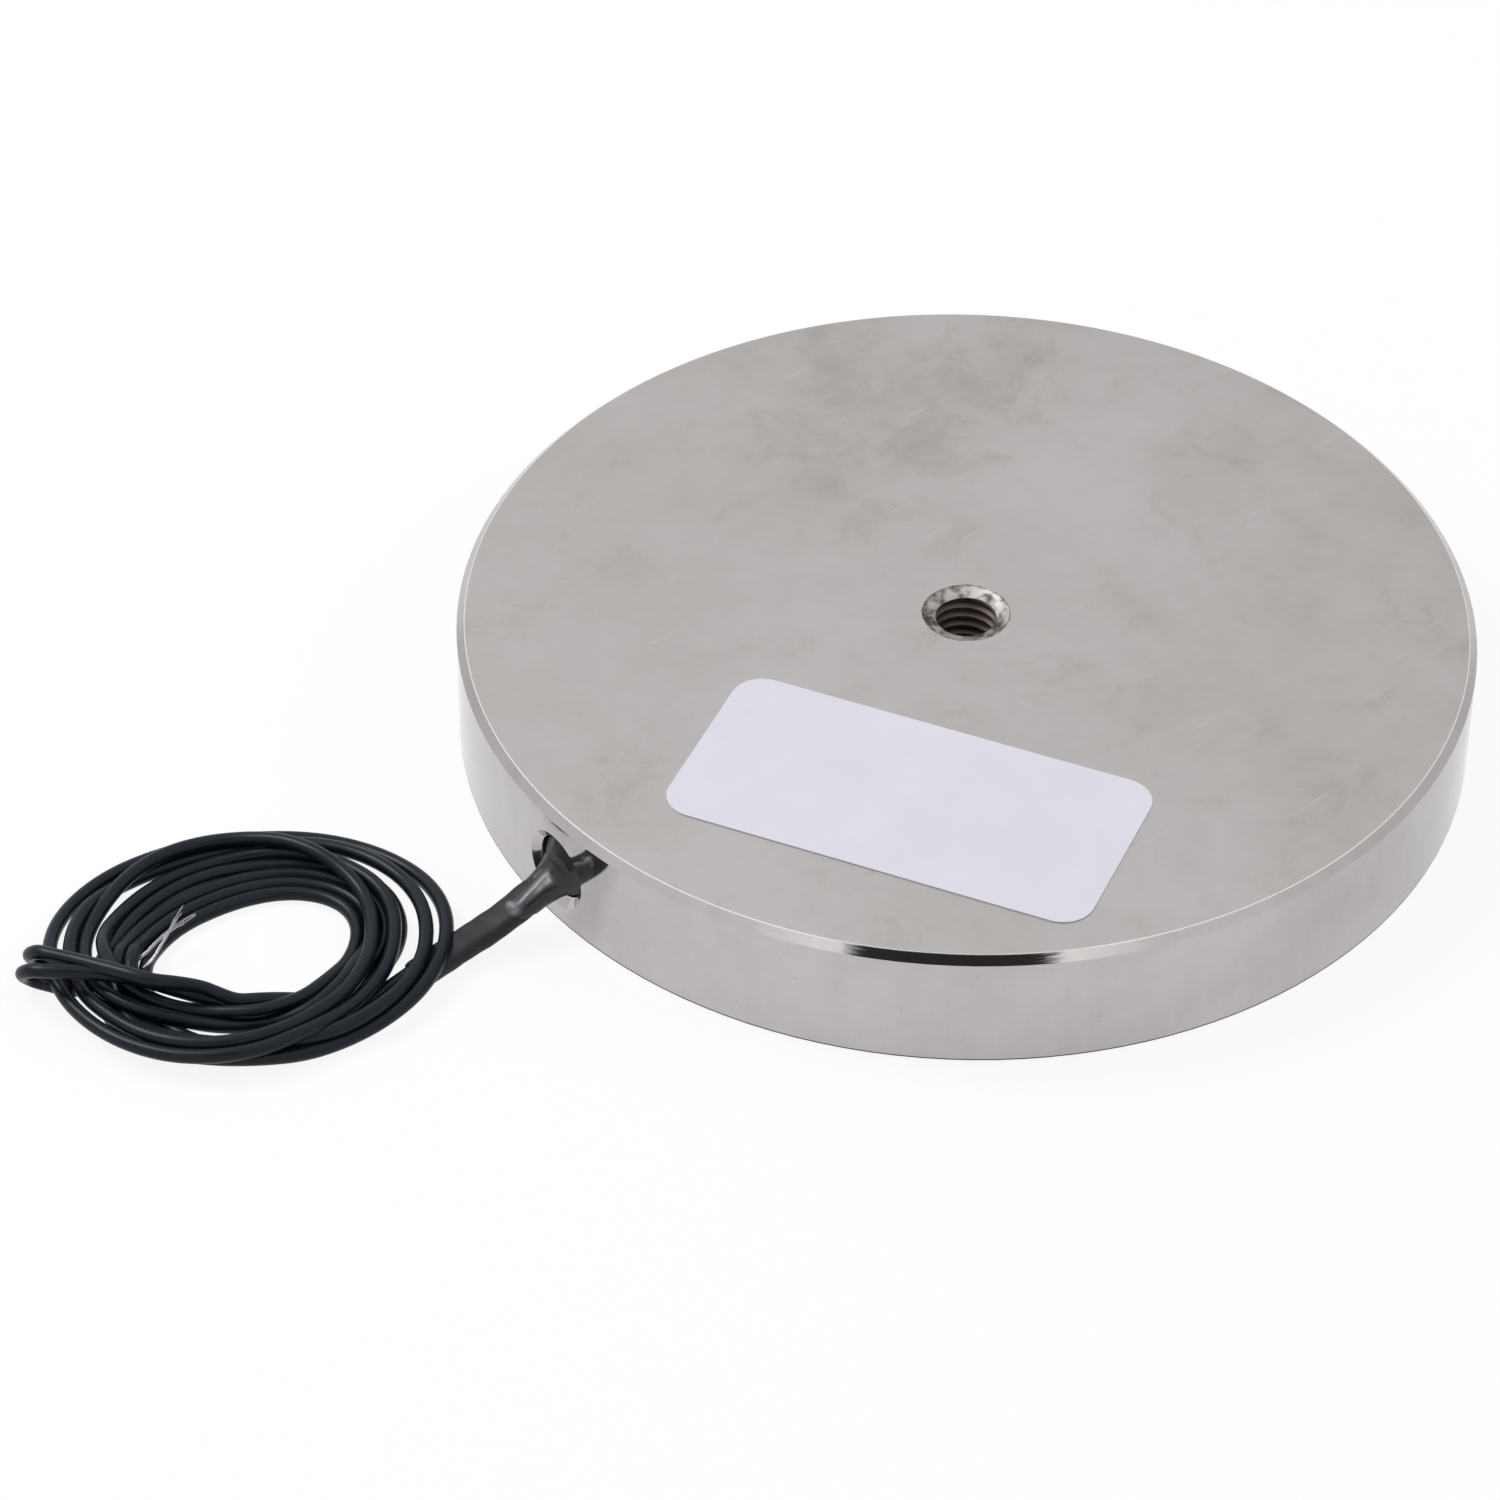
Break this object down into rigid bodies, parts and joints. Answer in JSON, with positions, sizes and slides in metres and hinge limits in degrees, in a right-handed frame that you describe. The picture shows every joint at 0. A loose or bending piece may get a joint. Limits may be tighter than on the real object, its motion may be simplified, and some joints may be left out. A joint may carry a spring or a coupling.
{
  "type": "holding electromagnet",
  "caption": "Flat round pot electromagnet with a threaded fixing hole in its back and two black leads in a loose coil at its side.",
  "frame": {"origin": "centre of the holding face, on the surface it stands on", "axes": "+Z from the holding face to the back with the threaded hole; -X towards the hole that the leads leave by"},
  "size_m": [0.1033, 0.07, 0.0091],
  "materials": {
    "nickel_plated_steel": "turned steel with satin nickel plating, polished rim",
    "bobbin_nylon": "moulded",
    "enamelled_copper": "clear enamel over copper",
    "polyester_tape": "film tape",
    "solder": "soft solder",
    "shrink_tubing": "black heat-shrink polyolefin",
    "casting_resin": "black epoxy, ground flush",
    "lead_insulation": "extruded black insulation",
    "exit_adhesive": "dark adhesive, set glossy",
    "tinned_copper": "fine tinned strands",
    "label_film": "matt foil label, left blank"
  },
  "bodies": {
    "root": {"magnet_shell": "nickel_plated_steel", "coil_bobbin": "bobbin_nylon", "coil_winding": "enamelled_copper", "winding_tape": "polyester_tape", "start_wire": "enamelled_copper", "finish_wire": "enamelled_copper", "splice_a": "solder", "splice_b": "solder", "splice_tube_a": "shrink_tubing", "splice_tube_b": "shrink_tubing", "potting_resin": "casting_resin", "lead_a": "lead_insulation", "lead_b": "lead_insulation", "lead_sleeve": "shrink_tubing", "exit_glue": "exit_adhesive", "lead_hank": "lead_insulation", "lead_tip_a": "tinned_copper", "lead_tip_b": "tinned_copper", "rating_label": "label_film"}
  },
  "joints": []
}
